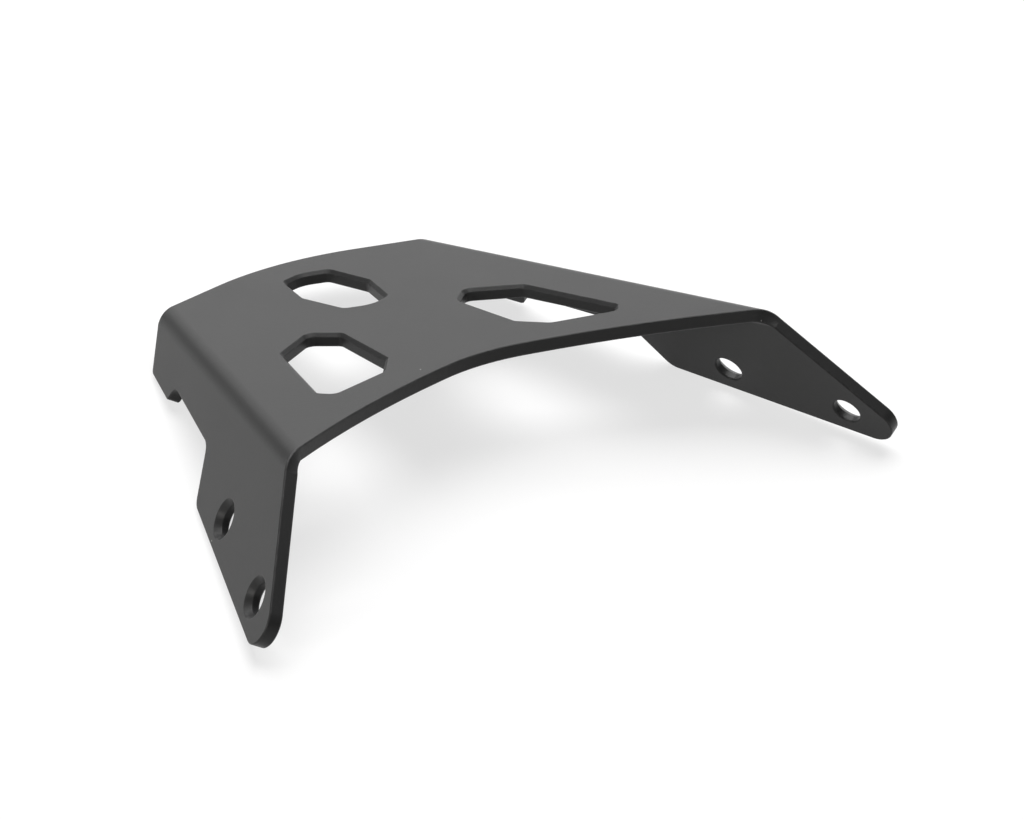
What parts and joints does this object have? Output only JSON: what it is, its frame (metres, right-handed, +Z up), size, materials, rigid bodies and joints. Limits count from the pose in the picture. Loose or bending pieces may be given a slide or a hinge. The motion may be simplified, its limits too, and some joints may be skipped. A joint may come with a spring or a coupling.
{
  "type": "motorcycle luggage rack",
  "caption": "Tapered luggage rack for a motorcycle tail: one flat plate with cut-outs, its sides bent down into flanges with bolted legs, powder coated.",
  "frame": {"origin": "on the ground that the rack stands on, under the middle of its bounding box", "axes": "+Z up from the ground, +X to the rack's right, +Y to its rear; the plate falls to the rear by 12.6 degrees as it stands"},
  "size_m": [0.2294, 0.1682, 0.0408],
  "materials": {
    "powder_coat": "fine matt dark grey powder coat on aluminium"
  },
  "bodies": {
    "root": {"luggage_rack": "powder_coat"}
  },
  "joints": []
}
